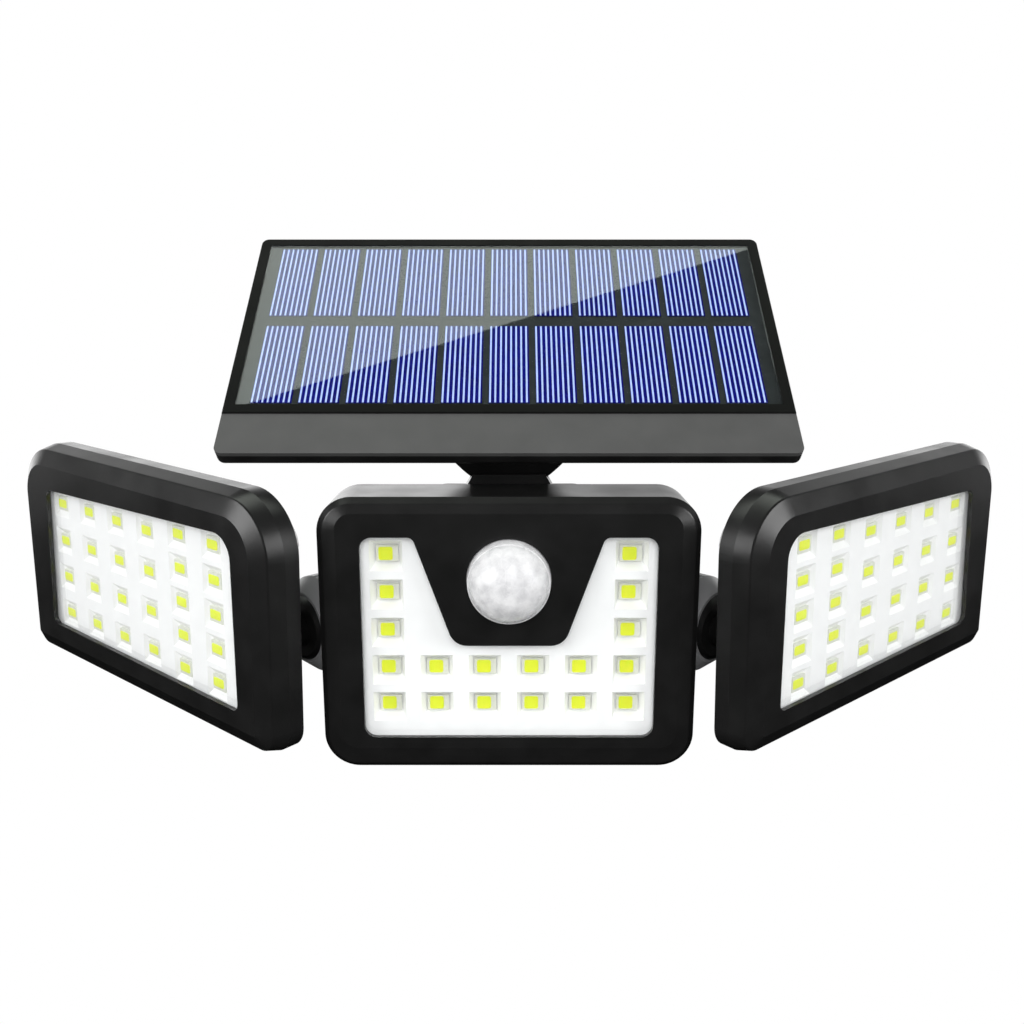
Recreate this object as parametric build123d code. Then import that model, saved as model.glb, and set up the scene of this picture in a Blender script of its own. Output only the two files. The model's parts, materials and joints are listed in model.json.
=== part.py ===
"""Solar security light with a motion sensor: a centre head with the sensor, two side heads on
ball joints, and a solar panel on a tilting neck above them, held off the wall by a bracket.

Millimetres, +Z up, the front faces -Y. The origin is the centre of the wall plate's back face.
Most pieces are drawn in the "face frame", which has its origin at the centre of the centre
head's front edge, and are then moved back by DEPTH. Each head has a frame of its own, with y = 0
where its bezel meets its shell, y falling towards the front.
"""
from build123d import *
import os
from dataclasses import dataclass
from math import cos, radians, sin, sqrt

# ---- driving dimensions -------------------------------------------------------------------
DEPTH = 124.0            # centre head's front edge to the wall
WALL = 2.4               # moulded housing wall
SHELL_FLOOR = 2.2        # back wall of a head's shell
SKIRT = 1.0              # bezel edge before it meets the shell
LIP = 1.6                # bezel tongue that stands inside the shell
LIP_LENGTH = 2.4
FIT_GAP = 0.2            # clearance between pieces that slide into each other
BEZEL_FRONT = 1.5        # thickness of a bezel's flat front
GASKET = 0.4
LENS = 1.4
LENS_LAP = 2.6           # how far a lens reaches past its window
BOARD = 1.6              # printed circuit board
LED_SIZE = (6.4, 1.0, 4.8)
POCKET_BACK = (6.9, 5.3)
POCKET_FRONT = (9.7, 9.3)
BOSS_R = 3.0
SCREW_R = 1.4
THREAD_FIT = 0.05        # between a screw and the hole it bites into
SCREW_HEAD_R = 2.7
SCREW_HEAD = 1.8

# centre head
CENTRE_W = 112.0
CENTRE_H = 84.0
CENTRE_R = (10.5, 10.5)  # upper and lower corners
CENTRE_DEPTH = 21.5
CENTRE_RIM = (1.7, 1.9)      # bezel's first slope: inwards, forwards
CENTRE_SLOPE = (4.1, 1.3)    # second slope, up to the flat plateau
CENTRE_LIFT = 1.4            # plateau's centre above the head's
CENTRE_WINDOW = (12.7, 10.7, 11.4)  # window's edges, in from the head's sides, bottom and top
CENTRE_WINDOW_R = 3.6
CENTRE_LEDS = (7.3, 8.7, 6.2)       # outer lights, in from the window's sides, bottom and top
CENTRE_TRAY = 4.2        # reflector's thickness
CENTRE_POSTS = (30.0, 20.0, -6.0)   # posts under the board: half spacings, and their middle
PIR_R = 12.3             # the sensor's dome
PIR_FLANGE = 2.4
PIR_DROP = 12.9          # its centre below the window's top
PIR_Z = CENTRE_H / 2 - CENTRE_WINDOW[2] - PIR_DROP
MASK_TOP_HALF = 27.9     # the dark mask round the sensor, a trapezium
MASK_BOTTOM_HALF = 16.2
MASK_DROP = 19.9         # its lower edge below the dome's centre
MASK_BOTTOM_Z = PIR_Z - MASK_DROP
MASK_CORNER = 5.5
CAN_R = 4.1              # the sensor's metal can
CAN_H = 4.4
CAN_FLANGE = (0.6, 0.8)  # outwards, thick

# side heads
SIDE_W = 144.0
SIDE_H = 78.5
SIDE_R = (18.6, 7.6)     # upper and lower corners
SIDE_RIM = (1.6, 5.0)
SIDE_SLOPE = (5.2, 2.6)
SIDE_TRAY = 1.8
# window's corners from the lower outer one round: in from the head's side, in from its bottom or
# top, radius
SIDE_WINDOW = ((18.5, 13.25, 3.0), (14.6, 12.25, 2.6), (15.5, 12.25, 7.5), (21.0, 15.25, 3.0))
SIDE_LEDS = (7.85, 13.55)    # outer columns of lights, in from the window's two sides
SIDE_FOUR = (5.75, 7.75)     # columns of four lights, in from the window's bottom and top
SIDE_FIVE = (4.4, 5.6)       # columns of five lights
SIDE_POSTS = (36.0, 18.0, -1.2)
POST_R = 2.6
SIDE_WALL_DEPTH = 5.0    # straight side wall before the back slopes in
SIDE_DEPTH = 13.4
BACK_INSET = 10.5        # how far the back slopes in on every side
SIDE_SCREW = (7.8, 19.5) # bezel screws: in from the ends, above and below the middle
SIDE_SCREW_FLOOR = 2.0   # shell left under their heads
SIDE_YAW = 38.7          # turned outwards
SIDE_ROLL = 1.9          # outer end raised
STEM_INSET = 17.5        # ball stem, in from the inner edge
STEM_DROP = 8.5          # and below the head's centre

# ball joint
BALL_AT = (5.1, 0.2, -3.5)   # outside the centre head's side, behind its back, above its centre
BALL = (-CENTRE_W / 2 - BALL_AT[0], CENTRE_DEPTH + BALL_AT[1], BALL_AT[2])
BALL_R = 12.0
BALL_OFF = 12.7          # ball centre behind the side head's back
BALL_FLAT = 8.2          # the ball is cut flat this far from its centre, where its neck starts
NECK_R = 5.4
STEM_R = 7.0
SHANK_R = 3.9
NUT_AF = 11.0
NUT_T = 3.2
SOCKET_YAW = 45.0        # the socket's mouth points this far outwards
BALL_GAP = 0.1
LINER = 0.8
MOUTH_R = 10.5
MOUTH_AT = 6.0           # mouth's edge ahead of the ball's centre
MOUTH_LIP = 0.9
CUP_R = 15.5
CONE_AT = 0.9            # the ring nut's cone ends this far ahead of the ball's centre
NUT_BACK = 4.0           # ring nut's rear edge behind the ball's centre
THREAD_R = 14.2          # cup's thread, inside the ring nut
CUP_BACK = 15.2          # cup's rear face behind the ball's centre
LINER_ANGLE = 50.0       # liner's edge, from the socket's axis
GRIPS = 24               # grooves round a ring nut's skirt
GRIP_R = 0.7
POCKET_WALL = 1.8        # shell wall round the space a ring nut turns in

# rear box, with the battery and the control board
BOX_HALF = 38.0
BOX_TOP = 29.0
BOX_BOTTOM = -31.0
BOX_R = 6.0
BOX_DEPTH = 24.5         # behind the centre head
BOX_BACK = CENTRE_DEPTH + BOX_DEPTH
COVER_T = 2.6
CELL_R = 9.2
CELL_ROOM = 5.4          # from the battery cell's ends to the box's sides
CELL_LENGTH = 2 * (BOX_HALF - CELL_ROOM)
CELL_TIP = (3.2, 1.0)    # its radius, and how far it stands out
CELL_SEAT = 2.2          # wall of the holder in front of the cell
CELL_UP = 21.0           # cell's centre above the box's bottom
CELL_Z = BOX_BOTTOM + CELL_UP
HOLDER_DEPTH = 14.0
HOLDER_WALL = 1.6
BUTTON_IN = (12.0, 17.0) # button's centre, in from the box's side and top
BUTTON_AT = (BOX_HALF - BUTTON_IN[0], BOX_TOP - BUTTON_IN[1])
BUTTON_R = 4.6
CONTROL_BACK = 8.0       # control board's front, ahead of the box's back
CONTROL_Y = BOX_BACK - CONTROL_BACK
CONTROL_ENDS = (12.0, 7.0)   # control board's ends, in from the box's sides
CONTROL_DROP = (9.5, 26.0)   # its upper and lower edges below the box's top
CONTROL_POSTS = (16.0, 20.0, 18.0)  # its two posts, in from the box's sides, below its top
SWITCH = (6.0, 1.8)      # push switch under the button: side, height
COIL = (3.4, 3.0)        # radius, height
COIL_AT = (8.0, 8.5)     # in from the board's end, below its upper edge
CHIP = (5.0, 1.6, 4.0)
CHIP_AT = (20.0, 8.5)
PLUG = (9.8, 4.4, 5.0)
PLUG_AT = (32.0, 4.5)
COVER_SCREW = 10.0       # screw lengths under their heads
FLANGE_SCREW = 6.0
FOOT_SCREW = 4.6

# panel and its hinge
PANEL_W = 172.0
PANEL_SLANT = 96.4
STRIP = 15.3             # bare lower strip of the deck, in front of the cells
PANEL_T = 6.0
DECK_T = 1.4
FRAME_RIM = 3.4          # black border round the clear sheet
PANEL_R = 2.4            # outer corners
PANEL_TILT = 41.8        # from level
HINGE_AT = (8.5, 5.8)    # hinge axis behind the centre head's back, above its top
HINGE = (CENTRE_DEPTH + HINGE_AT[0], CENTRE_H / 2 + HINGE_AT[1])
HINGE_FROM_EDGE = 15.2   # hinge axis behind the panel's lower edge, along the slope
HINGE_BELOW = 22.0       # and below its top face
KNUCKLE_R = 5.4
TONGUE = 9.6             # tongue's width, between the cheeks
TONGUE_R = 4.0
TONGUE_STALK = 5.0       # thickness of the web under it
TONGUE_GAP = 0.3
WAIST_HALF = 11.35       # narrowest half width of the neck
FOOT_HALF = 23.0         # half width where the neck meets the panel
PIN_R = 2.0
BOLT_POCKET_R = 4.0      # pockets in the cheeks for the hinge bolt's head and nut
BOLT_POCKET_AT = 10.2    # their floors, from the middle
FOOT_T = 3.0             # the neck's foot, screwed to the tray
FOOT_SPAN = (-10.0, 24.0)    # its edges along the slope, from the hinge
SEAT_RISE = 1.9          # the tower's top above the knuckles' lowest point
CELL_COLUMNS = 11
CELL_ROWS = 2
CELL_GAP = (2.02, 4.9)   # between cells, across and up the slope
CELL_EDGES = (4.3, 1.3, 1.5)    # between the cells and the border's sides, lower and upper edges
CELL_T = 0.3
SHEET_T = 0.5            # backing behind the cells
BACKING_Z = -0.9
FLOOR_T = 1.6            # the deck's sunk floor under the cells
FLOOR_Z = -DECK_T - FLOOR_T
TRAY_FLOOR = 2.0
DECK_SCREWS = (9.0, 10.2)    # in from the panel's sides and ends

# wall bracket
PLATE_SIDE = 70.0
PLATE_T = 4.0
PLATE_DROP = 12.0        # plate's centre below the centre head's
HOLE_HALF = 25.0         # wall screw holes, half their spacing
HOLE_R = 2.4
FLANGE = (38.0, 44.0)
FLANGE_T = 3.5
ARM_FRONT = (24.0, 30.0)
ARM_BACK = (32.0, 40.0)
ARM_WALL = 2.6


@dataclass
class Head:
    """Sizes of one head in its own frame."""
    width: float
    height: float
    radii: tuple         # upper and lower corners
    rim: tuple           # first slope of the bezel: inwards, forwards
    slope: tuple         # second slope, up to the flat plateau
    plateau_lift: float  # plateau's centre above the head's
    window: list         # (x, z, corner radius)
    reflector_t: float
    columns: list        # (x, [z, ...]) of the light-emitting diodes
    masked: bool

    @property
    def rise(self):
        return self.rim[1] + self.slope[1]

    def outline(self, inset=0.0, lift=0.0):
        """The head's outline, moved in by an inset."""
        return rounded(self.width - 2 * inset, self.height - 2 * inset,
                       [r - inset for r in self.radii], lift)

    @property
    def lens_y(self):
        return -self.rise + BEZEL_FRONT + GASKET

    @property
    def reflector_y(self):
        return self.lens_y + LENS

    @property
    def board_y(self):
        return self.reflector_y + self.reflector_t


def spread(count, pitch, middle=0.0):
    """Evenly spaced positions round a middle."""
    return [middle + (i - (count - 1) / 2) * pitch for i in range(count)]


def between(count, low, high):
    """Evenly spaced positions from low to high."""
    return spread(count, (high - low) / (count - 1), (low + high) / 2)


def edges(window):
    """Least and greatest x, then z, of a window's corners."""
    return [f(corner[axis] for corner in window) for axis in (0, 1) for f in (min, max)]


def centre_head():
    """Six columns of lights: the outer two are full, the others stop below the sensor."""
    half = CENTRE_W / 2 - CENTRE_WINDOW[0]
    low = CENTRE_WINDOW[1] - CENTRE_H / 2
    high = CENTRE_H / 2 - CENTRE_WINDOW[2]
    window = [(x, z, CENTRE_WINDOW_R) for x, z in ((-half, low), (half, low), (half, high),
                                                   (-half, high))]
    rows = between(5, low + CENTRE_LEDS[1], high - CENTRE_LEDS[2])
    columns = between(6, CENTRE_LEDS[0] - half, half - CENTRE_LEDS[0])
    lights = [(x, rows if i in (0, 5) else rows[:2]) for i, x in enumerate(columns)]
    return Head(CENTRE_W, CENTRE_H, CENTRE_R, CENTRE_RIM, CENTRE_SLOPE, CENTRE_LIFT, window,
                CENTRE_TRAY, lights, True)


def side_head():
    """Six columns of lights: four of four, then two of five next to the centre head."""
    signs = ((-1, -1), (1, -1), (1, 1), (-1, 1))
    window = [(sx * (SIDE_W / 2 - dx), sz * (SIDE_H / 2 - dz), r)
              for (sx, sz), (dx, dz, r) in zip(signs, SIDE_WINDOW)]
    x0, x1, z0, z1 = edges(window)
    four = between(4, z0 + SIDE_FOUR[0], z1 - SIDE_FOUR[1])
    five = between(5, z0 + SIDE_FIVE[0], z1 - SIDE_FIVE[1])
    columns = between(6, x0 + SIDE_LEDS[0], x1 - SIDE_LEDS[1])
    lights = [(x, four if i < 4 else five) for i, x in enumerate(columns)]
    return Head(SIDE_W, SIDE_H, SIDE_R, SIDE_RIM, SIDE_SLOPE, 0.0, window, SIDE_TRAY, lights, False)


centre = centre_head()
side = side_head()


# ---- small helpers ------------------------------------------------------------------------
def face_at(y, sketch):
    """Stand a sketch, drawn in (x, z), at depth y."""
    return Plane.XZ.offset(-y) * sketch


def prism(sketch, y0, y1):
    """Extrude a sketch drawn in (x, z) from y0 back to y1."""
    return extrude(face_at(y1, sketch), y1 - y0)


def rounded(w, h, radii, lift=0.0):
    """Rectangle with one radius for its upper corners and another for its lower ones."""
    shape = Rectangle(w, h)
    for end, radius in zip((-1, 0), radii):
        if radius > 0:
            shape = fillet(shape.vertices().group_by(Axis.Y)[end], radius)
    return Pos(0, lift) * shape


def plate(w, h, r, y0, y1, x=0.0, z=0.0):
    return prism(Pos(x, z) * RectangleRounded(w, h, r), y0, y1)


def frustum(front, back, y0, y1):
    """Loft between a front and a back sketch, both drawn in (x, z)."""
    return loft([face_at(y1, back), face_at(y0, front)], ruled=True)


def rod(r, y0, y1, x=0.0, z=0.0):
    return prism(Pos(x, z) * Circle(r), y0, y1)


def corners(half_x, half_z, z=0.0):
    return [(sx * half_x, z + sz * half_z) for sx in (-1, 1) for sz in (-1, 1)]


def screw(x, z, head_y, length):
    """Pan-head screw driven towards -Y: its head's outer face is at head_y."""
    head = rod(SCREW_HEAD_R, head_y - SCREW_HEAD, head_y, x, z)
    head = chamfer(head.edges().group_by(Axis.Y)[-1], 0.7)
    slot = Pos(x, head_y, z) * Box(3.4, 1.2, 0.7) + Pos(x, head_y, z) * Box(0.7, 1.2, 3.4)
    return head + rod(SCREW_R, head_y - SCREW_HEAD - length, head_y - SCREW_HEAD, x, z) - slot


def group(solids):
    return Compound(children=list(solids))


def both_sides(shape):
    return [shape, mirror(shape, Plane.YZ)]


# ---- placing ------------------------------------------------------------------------------
side_turn = Location((0, 0, 0), (0, 0, -SIDE_YAW)) * Location((0, 0, 0), (0, SIDE_ROLL, 0))
BALL_LOCAL = (SIDE_W / 2 - STEM_INSET, SIDE_DEPTH + BALL_OFF, -STEM_DROP)
side_origin = Vector(*BALL) - (side_turn * Pos(*BALL_LOCAL)).position
left_place = Location(side_origin) * side_turn
socket_place = Location(BALL, (0, 0, -SOCKET_YAW))
panel_place = (Location((0, *HINGE), (PANEL_TILT, 0, 0))
               * Pos(0, -HINGE_FROM_EDGE, HINGE_BELOW))


# ---- head pieces --------------------------------------------------------------------------
def window_box(head, grow):
    """Box round the window: width, height and middle."""
    x0, x1, z0, z1 = edges(head.window)
    return x1 - x0 + 2 * grow, z1 - z0 + 2 * grow, (x0 + x1) / 2, (z0 + z1) / 2


def window_sketch(head, grow=0.0):
    """The head's window, with the sensor's mask taken out of the centre one."""
    spots = [(x + grow * (1 if x > 0 else -1), z + grow * (1 if z > 0 else -1), r + grow)
             for x, z, r in head.window]
    shape = Polygon(*[(x, z) for x, z, _ in spots], align=None)
    for x, z, r in spots:
        corner = min(shape.vertices(), key=lambda v: (v.X - x) ** 2 + (v.Y - z) ** 2)
        shape = fillet(corner, r)
    if not head.masked:
        return shape
    top = spots[2][1]
    lean = (MASK_TOP_HALF - MASK_BOTTOM_HALF) / (top - grow - MASK_BOTTOM_Z)
    low = MASK_BOTTOM_Z + grow
    low_half = MASK_BOTTOM_HALF - grow + lean * grow
    high = top + 4.0
    high_half = low_half + lean * (high - low)
    mask = Polygon((-low_half, low), (low_half, low), (high_half, high), (-high_half, high),
                   align=None)
    mask = fillet(mask.vertices().group_by(Axis.Y)[0], MASK_CORNER)
    shape -= mask
    tips = [v for v in shape.vertices() if abs(v.Y - top) < 0.01 and abs(v.X) < high_half]
    return fillet(tips, 2.2)


def make_bezel(head):
    """Front frame: an edge, two slopes up to a flat plateau, and the sunk window."""
    rim_in, rim_up = head.rim
    inset = rim_in + head.slope[0]
    crease = head.outline(rim_in)
    body = prism(head.outline(), 0, SKIRT)
    body += frustum(crease, head.outline(), -rim_up, 0)
    body += frustum(head.outline(inset, head.plateau_lift), crease, -head.rise, -rim_up)
    body = fillet(body.edges().filter_by_position(Axis.Y, -rim_up, -rim_up), 0.8)
    ceiling = -head.rise + BEZEL_FRONT
    end = SKIRT + LIP_LENGTH
    body += prism(head.outline(WALL + FIT_GAP), 0, end)
    body -= prism(head.outline(WALL + FIT_GAP + LIP), 0.4 - rim_up / 2, end)
    body -= prism(head.outline(inset, head.plateau_lift), ceiling, 0.5)
    for x, z in screw_spots(head):
        body += rod(BOSS_R, ceiling, end, x, z)
        body -= rod(SCREW_R + THREAD_FIT, ceiling + 1.2, end, x, z)
    body -= prism(window_sketch(head), -head.rise, ceiling)
    if head.masked:
        body -= rod(PIR_R + FIT_GAP, -head.rise, ceiling, 0, PIR_Z)
    return body


def screw_spots(head):
    """Four bezel screws: near the centre head's corners, by the ends of a side head."""
    if not head.masked:
        return corners(SIDE_W / 2 - SIDE_SCREW[0], SIDE_SCREW[1])
    radius = head.radii[0] - WALL
    step = (radius - BOSS_R - FIT_GAP - 0.2) / sqrt(2)
    return corners(head.width / 2 - WALL - radius + step, head.height / 2 - WALL - radius + step)


def make_gasket(head):
    """Thin ring that seals the lens to the bezel."""
    ring = window_sketch(head, LENS_LAP) - window_sketch(head, 0.8)
    y0 = head.lens_y - GASKET
    return prism(ring, y0, head.lens_y)


def make_lens(head):
    """Clear cover behind the window. The sensor's dome passes beside it."""
    return prism(window_sketch(head, LENS_LAP), head.lens_y, head.reflector_y)


def back_plate(head, y0, y1):
    """Outline that the reflector and the board share."""
    w, h, x, z = window_box(head, LENS_LAP - 0.8)
    return plate(w, h, 3.0, y0, y1, x, z)


def make_reflector(head):
    """White tray with a pyramid pocket round each light."""
    y0, y1 = head.reflector_y + 0.05, head.board_y
    pocket = frustum(Rectangle(*POCKET_FRONT), Rectangle(*POCKET_BACK), y0, y1)
    body = back_plate(head, y0, y1)
    if head.masked:
        body -= rod(PIR_R + PIR_FLANGE + 0.6, y0, y1, 0, PIR_Z)
    return body - [Pos(x, 0, z) * pocket for x, rows in head.columns for z in rows]


def make_board(head):
    return back_plate(head, head.board_y, head.board_y + BOARD)


def make_leds(head):
    """One square package for each pocket, seated on the board."""
    w, t, h = LED_SIZE
    package = Pos(0, head.board_y - t / 2, 0) * Box(w, t, h)
    return group(Pos(x, 0, z) * package for x, rows in head.columns for z in rows)


def make_screws(head, head_y):
    return group(screw(x, z, head_y, head_y - SCREW_HEAD - SKIRT) for x, z in screw_spots(head))


# ---- sensor -------------------------------------------------------------------------------
def make_pir_lens():
    """Hollow dome with a flange that the mask holds from behind."""
    front = -centre.rise
    back = front + BEZEL_FRONT
    flange = rod(PIR_R + PIR_FLANGE, back, back + 1.2, 0, PIR_Z)
    neck = rod(PIR_R, front, back, 0, PIR_Z)
    half = (Align.CENTER, Align.CENTER, Align.MIN)
    forward = Pos(0, front, PIR_Z) * Rot(90, 0, 0)
    dome = forward * Sphere(PIR_R, arc_size1=0, align=half)
    hollow = forward * Sphere(PIR_R - 0.9, arc_size1=0, align=half)
    bore = rod(PIR_R - 0.9, front, back + 1.2, 0, PIR_Z)
    return flange + neck + dome - bore - hollow


def make_pir_sensor():
    """Metal can with its flat window, standing on the board inside the dome."""
    foot = centre.board_y
    can = rod(CAN_R, foot - CAN_H, foot, 0, PIR_Z)
    can += rod(CAN_R + CAN_FLANGE[0], foot - CAN_FLANGE[1], foot, 0, PIR_Z)
    return can - Pos(0, foot - CAN_H, PIR_Z) * Box(4.6, 0.6, 3.6)


# ---- ball joint ---------------------------------------------------------------------------
LINER_ROOM = BALL_R + LINER + 2 * BALL_GAP


def make_cup():
    """Outside of a socket, closed at the rear, with a threaded collar. The mouth faces -Y."""
    body = rod(CUP_R, NUT_BACK + FIT_GAP, CUP_BACK)
    body = chamfer(body.edges().group_by(Axis.Y)[-1], 2.4)
    return body + rod(THREAD_R, -CONE_AT + 0.4, NUT_BACK + FIT_GAP)


def make_cup_hollow():
    """Inside of a socket: round at the rear, straight towards the mouth."""
    return Sphere(LINER_ROOM) + rod(LINER_ROOM, -LINER_ROOM, 0)


def make_ring_nut():
    """Conical nut on the cup's collar: a round seat holds the ball in, grooves give a grip."""
    cone = frustum(Circle(MOUTH_R + MOUTH_LIP), Circle(CUP_R), -MOUTH_AT, -CONE_AT)
    skirt = rod(CUP_R, -CONE_AT, NUT_BACK)
    seat = Sphere(BALL_R + BALL_GAP) + rod(MOUTH_R, -MOUTH_AT - 1, 0)
    collar = rod(THREAD_R + THREAD_FIT, -CONE_AT + FIT_GAP, NUT_BACK)
    groove = rod(GRIP_R, -CONE_AT, NUT_BACK, CUP_R + 0.3)
    grooves = [Rot(0, i * 360 / GRIPS, 0) * groove for i in range(GRIPS)]
    return cone + skirt - seat - collar - grooves


def make_liner():
    """Thin friction cup between the ball's rear and the socket."""
    r0 = BALL_R + BALL_GAP
    cut = r0 * cos(radians(LINER_ANGLE))
    shell = Sphere(r0 + LINER) - Sphere(r0)
    return shell - Pos(0, cut - 20, 0) * Box(40, 40, 40)


def make_ball_stem():
    """Ball, neck, tapered foot and threaded shank, in the side head's frame."""
    x, y, z = BALL_LOCAL
    ball = Sphere(BALL_R) - Pos(0, -BALL_FLAT - BALL_R, 0) * Box(40, 2 * BALL_R, 40)
    ball += rod(NECK_R, -BALL_OFF + 1.4, 0)
    ball += frustum(Circle(STEM_R), Circle(NECK_R), -BALL_OFF, -BALL_OFF + 1.4)
    shank = rod(SHANK_R, -BALL_OFF - SHELL_FLOOR - NUT_T - 0.8, -BALL_OFF)
    return Pos(x, y, z) * (ball + shank)


def make_stem_nut():
    """Hexagon nut that pulls the stem against the head's back wall."""
    x, _, z = BALL_LOCAL
    y1 = SIDE_DEPTH - SHELL_FLOOR
    hexagon = RegularPolygon(NUT_AF / 2, 6, major_radius=False) - Circle(SHANK_R + 0.05)
    return Pos(x, 0, z) * prism(hexagon, y1 - NUT_T, y1)


# ---- shells -------------------------------------------------------------------------------
def make_side_shell():
    """Back of a side head: straight wall, then a back that slopes in on every side."""
    back = side.outline(BACK_INSET)
    outer = prism(side.outline(), SKIRT, SIDE_WALL_DEPTH)
    outer += frustum(side.outline(), back, SIDE_WALL_DEPTH, SIDE_DEPTH)
    floor = SIDE_DEPTH - SHELL_FLOOR
    bend = SIDE_WALL_DEPTH - 0.42 * WALL
    reach = WALL + BACK_INSET * (floor - bend) / (SIDE_DEPTH - SIDE_WALL_DEPTH)
    cavity = prism(side.outline(WALL), SKIRT, bend)
    cavity += frustum(side.outline(WALL), side.outline(reach), bend, floor)
    body = outer - cavity
    for x, z in corners(*SIDE_POSTS):
        body += rod(POST_R, side.board_y + BOARD, floor, x, z)
    boss_y = SKIRT + LIP_LENGTH + FIT_GAP
    for x, z in screw_spots(side):
        body += rod(BOSS_R + 0.6, boss_y, SIDE_DEPTH, x, z) & outer
        body -= rod(SCREW_R + 0.2, SKIRT, SIDE_DEPTH, x, z)
        body -= rod(SCREW_HEAD_R + 0.3, boss_y + SIDE_SCREW_FLOOR, SIDE_DEPTH, x, z)
    x, _, z = BALL_LOCAL
    return body - rod(SHANK_R + 0.1, 0, SIDE_DEPTH, x, z)


def make_housing():
    """Centre shell, rear box, neck tower and both sockets, moulded in one."""
    floor = CENTRE_DEPTH - SHELL_FLOOR
    body = prism(centre.outline(), SKIRT, CENTRE_DEPTH)
    body = fillet(body.edges().group_by(Axis.Y)[-1], 1.5)
    body += plate(2 * BOX_HALF, BOX_TOP - BOX_BOTTOM, BOX_R, CENTRE_DEPTH, BOX_BACK,
                  z=(BOX_TOP + BOX_BOTTOM) / 2)
    body += make_tower()
    body += both_sides(make_gusset())
    guards = both_sides(socket_place * rod(CUP_R + 0.6 + POCKET_WALL, -30, CUP_BACK))
    body -= prism(centre.outline(WALL), SKIRT, floor) - guards
    body -= plate(2 * (BOX_HALF - WALL), BOX_TOP - BOX_BOTTOM - 2 * WALL, BOX_R - WALL,
                  CENTRE_DEPTH, BOX_BACK, z=(BOX_TOP + BOX_BOTTOM) / 2) - guards
    body -= both_sides(socket_place * rod(CUP_R + 0.6, -40, NUT_BACK + FIT_GAP))
    body += both_sides(socket_place * make_cup())
    body -= both_sides(socket_place * make_cup_hollow())
    for x, z in corners(*CENTRE_POSTS):
        body += rod(POST_R, centre.board_y + BOARD, floor, x, z)
    for x, z in screw_spots(centre):
        body += rod(BOSS_R, SKIRT + LIP_LENGTH + FIT_GAP, floor, x, z)
        body -= rod(SCREW_R + 0.2, SKIRT, CENTRE_DEPTH, x, z)
    for x, z in cover_spots():
        body += rod(BOSS_R, CENTRE_DEPTH, BOX_BACK, x, z)
        body -= rod(SCREW_R + THREAD_FIT, CENTRE_DEPTH + 8, BOX_BACK, x, z)
    for x, z in board_spots():
        body += rod(2.2, CENTRE_DEPTH, CONTROL_Y, x, z)
    return body - rod(4.0, floor, CENTRE_DEPTH, 0, 14.0)


def make_gusset():
    """Thick web behind the centre shell, from a socket to the box's side."""
    x, _, z = BALL
    web = Polygon((x + 4, z - 11.0), (1 - BOX_HALF, z - 20.0), (1 - BOX_HALF, z + 20.0),
                  (x + 4, z + 11.0), align=None)
    return prism(web, CENTRE_DEPTH - 0.5, CENTRE_DEPTH + 7.0)


def make_tower():
    """Flared post on the rear box, with the hinge's tongue standing on a web."""
    y, z = HINGE
    shoulder = z - KNUCKLE_R + SEAT_RISE
    flare = 0.55
    foot = WAIST_HALF + flare * (shoulder - BOX_TOP + 2)
    front = Polygon((-foot, BOX_TOP - 2), (foot, BOX_TOP - 2), (WAIST_HALF, shoulder),
                    (-WAIST_HALF, shoulder), align=None)
    post = prism(front, y - KNUCKLE_R - 0.6, y + KNUCKLE_R + 0.6)
    post -= Pos(0, y, z) * Rot(0, 90, 0) * Cylinder(KNUCKLE_R + TONGUE_GAP, 60)
    barrel = Rot(0, 90, 0) * Cylinder(TONGUE_R, TONGUE)
    stalk = Pos(0, 0, -(KNUCKLE_R + 1.5) / 2) * Box(TONGUE, TONGUE_STALK, KNUCKLE_R + 1.5)
    bore = Rot(0, 90, 0) * Cylinder(PIN_R + 0.05, TONGUE + 1)
    return post + Pos(0, y, z) * (barrel + stalk) - Pos(0, y, z) * bore


# ---- rear box -----------------------------------------------------------------------------
def cover_spots():
    inset = WALL + BOSS_R + FIT_GAP
    half_z = (BOX_TOP - BOX_BOTTOM) / 2 - inset
    return corners(BOX_HALF - inset, half_z, (BOX_TOP + BOX_BOTTOM) / 2)


def board_spots():
    left, right, drop = CONTROL_POSTS
    return [(left - BOX_HALF, BOX_TOP - drop), (BOX_HALF - right, BOX_TOP - drop)]


def make_rear_cover():
    """Flat back of the box with a locating rim and the hole for the button."""
    mid = (BOX_TOP + BOX_BOTTOM) / 2
    tall = BOX_TOP - BOX_BOTTOM
    gap = WALL + FIT_GAP
    body = plate(2 * BOX_HALF, tall, BOX_R, BOX_BACK, BOX_BACK + COVER_T, z=mid)
    body = chamfer(body.edges().group_by(Axis.Y)[-1], 0.8)
    rim = plate(2 * (BOX_HALF - gap), tall - 2 * gap, BOX_R - gap, BOX_BACK - 1.6, BOX_BACK, z=mid)
    rim -= plate(2 * (BOX_HALF - gap - 1.4), tall - 2 * gap - 2.8, 2.2, BOX_BACK - 1.6, BOX_BACK,
                 z=mid)
    rim -= [rod(BOSS_R + FIT_GAP, BOX_BACK - 2, BOX_BACK, x, z) for x, z in cover_spots()]
    body += rim
    for x, z in cover_spots() + flange_spots():
        body -= rod(SCREW_R + 0.2, BOX_BACK - 2, BOX_BACK + COVER_T, x, z)
    return body - rod(BUTTON_R + FIT_GAP, BOX_BACK, BOX_BACK + COVER_T, *BUTTON_AT)


def make_cover_seal():
    """Flat ring between the button's collar and the cover."""
    ring = Circle(BUTTON_R + 2.4) - Circle(BUTTON_R + FIT_GAP)
    return prism(Pos(*BUTTON_AT) * ring, BOX_BACK - 0.8, BOX_BACK)


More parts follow.
